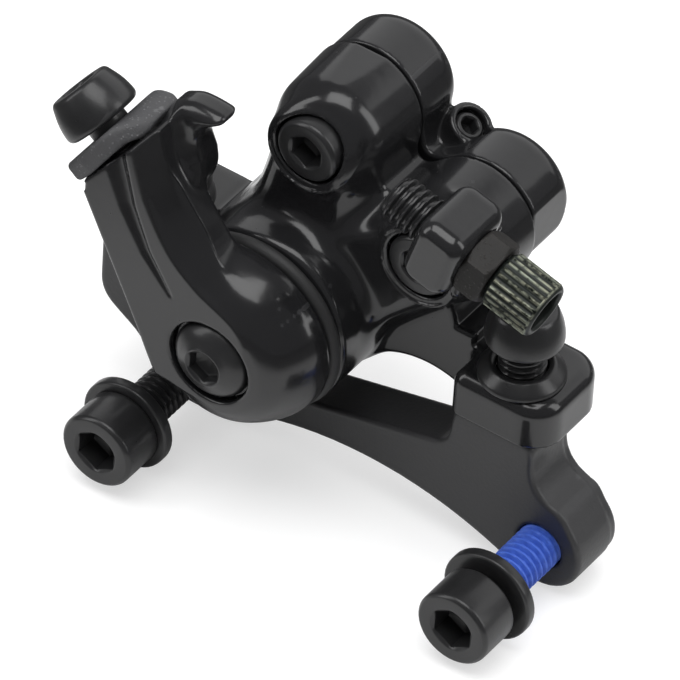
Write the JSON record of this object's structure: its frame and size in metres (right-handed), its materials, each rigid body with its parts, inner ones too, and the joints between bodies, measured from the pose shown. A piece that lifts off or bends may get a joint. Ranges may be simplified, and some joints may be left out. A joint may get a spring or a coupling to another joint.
{
  "type": "bicycle disc brake caliper",
  "caption": "Cable-pulled bicycle disc brake caliper in black, with a swinging arm, sprung cam, round pads, barrel adjuster and a frame mounting bracket with bolts.",
  "frame": {"origin": "midway between the two frame bolt holes, on the bracket face that meets the frame", "axes": "+X along the line of the frame bolt holes, towards the cable stop; +Y along the wheel axle, from the frame towards the wheel; +Z away from the hub"},
  "size_m": [0.0709, 0.044, 0.0557],
  "materials": {
    "gloss_black_casting": "gloss black paint on a smooth casting",
    "satin_black_bracket": "satin black paint",
    "black_steel": "black oxide",
    "dark_knurled_alloy": "dark grey anodised, knurled",
    "bare_steel": "machined",
    "bearing_bronze": "machined",
    "black_rubber": "matt",
    "brake_lining": "pressed friction compound with metal flecks"
  },
  "bodies": {
    "bracket": {"mount_bracket": "satin_black_bracket", "mount_bolt_left": "black_steel", "mount_bolt_right": "black_steel", "mount_washers": "black_steel", "caliper_bolt_left": "black_steel", "caliper_bolt_right": "black_steel", "dished_washers": "black_steel"},
    "caliper": {"outer_body": "gloss_black_casting", "inner_body": "gloss_black_casting", "body_bolt_upper": "black_steel", "body_bolt_lower": "black_steel", "dust_seal": "black_rubber", "shaft_bush": "bearing_bronze", "thrust_washer": "bearing_bronze", "return_spring": "bare_steel", "pad_retaining_screw": "black_steel"},
    "arm": {"actuator_arm": "gloss_black_casting", "arm_bolt": "black_steel", "arm_washer": "black_steel", "cable_clamp_plate": "black_steel", "cable_clamp_bolt": "black_steel", "cam_shaft": "bare_steel", "ramp_balls": "bare_steel"},
    "moving_pad": {"pressure_foot": "bare_steel", "foot_seal": "black_rubber", "foot_magnet": "bare_steel", "moving_pad_plate": "bare_steel", "moving_pad_lining": "brake_lining"},
    "fixed_pad": {"fixed_pad_plate": "bare_steel", "fixed_pad_lining": "brake_lining"},
    "pad_screw": {"pad_adjuster": "bare_steel", "adjuster_oring": "black_rubber", "adjuster_magnet": "bare_steel"},
    "cable_barrel": {"barrel_adjuster": "dark_knurled_alloy"},
    "lock_nut": {"adjuster_lock_nut": "black_steel"}
  },
  "joints": [
    {"name": "caliper_align", "type": "slide", "parent": "bracket", "child": "caliper", "axis": [0, 1, 0], "range_m": [-0.0008, 0.0008]},
    {"name": "arm_swing", "type": "hinge", "parent": "caliper", "child": "arm", "pos_m": [-0.013, 0, 0.0185], "axis": [0, 1, 0], "range_deg": [0, 30], "stiffness_Nm_per_rad": 0.3, "springref_deg": -28.65},
    {"name": "moving_pad_slide", "type": "slide", "parent": "caliper", "child": "moving_pad", "axis": [0, 1, 0], "range_m": [0, 0.002]},
    {"name": "fixed_pad_slide", "type": "slide", "parent": "caliper", "child": "fixed_pad", "axis": [0, -1, 0], "range_m": [0, 0.0016]},
    {"name": "pad_screw_turn", "type": "hinge", "parent": "fixed_pad", "child": "pad_screw", "pos_m": [-0.013, 0.023, 0.0185], "axis": [0, -1, 0], "range_deg": [0, 576]},
    {"name": "barrel_turn", "type": "hinge", "parent": "caliper", "child": "cable_barrel", "pos_m": [0.0123, -0.003, 0.0438], "axis": [0.9613, 0, -0.2756], "continuous": true},
    {"name": "lock_nut_turn", "type": "hinge", "parent": "caliper", "child": "lock_nut", "pos_m": [0.0123, -0.003, 0.0438], "axis": [0.9613, 0, -0.2756], "continuous": true}
  ],
  "couplings": [
    {"joint": "arm_swing", "follows": "moving_pad_slide", "rad_per_m": 261.79},
    {"joint": "pad_screw_turn", "follows": "fixed_pad_slide", "rad_per_m": 6283}
  ]
}
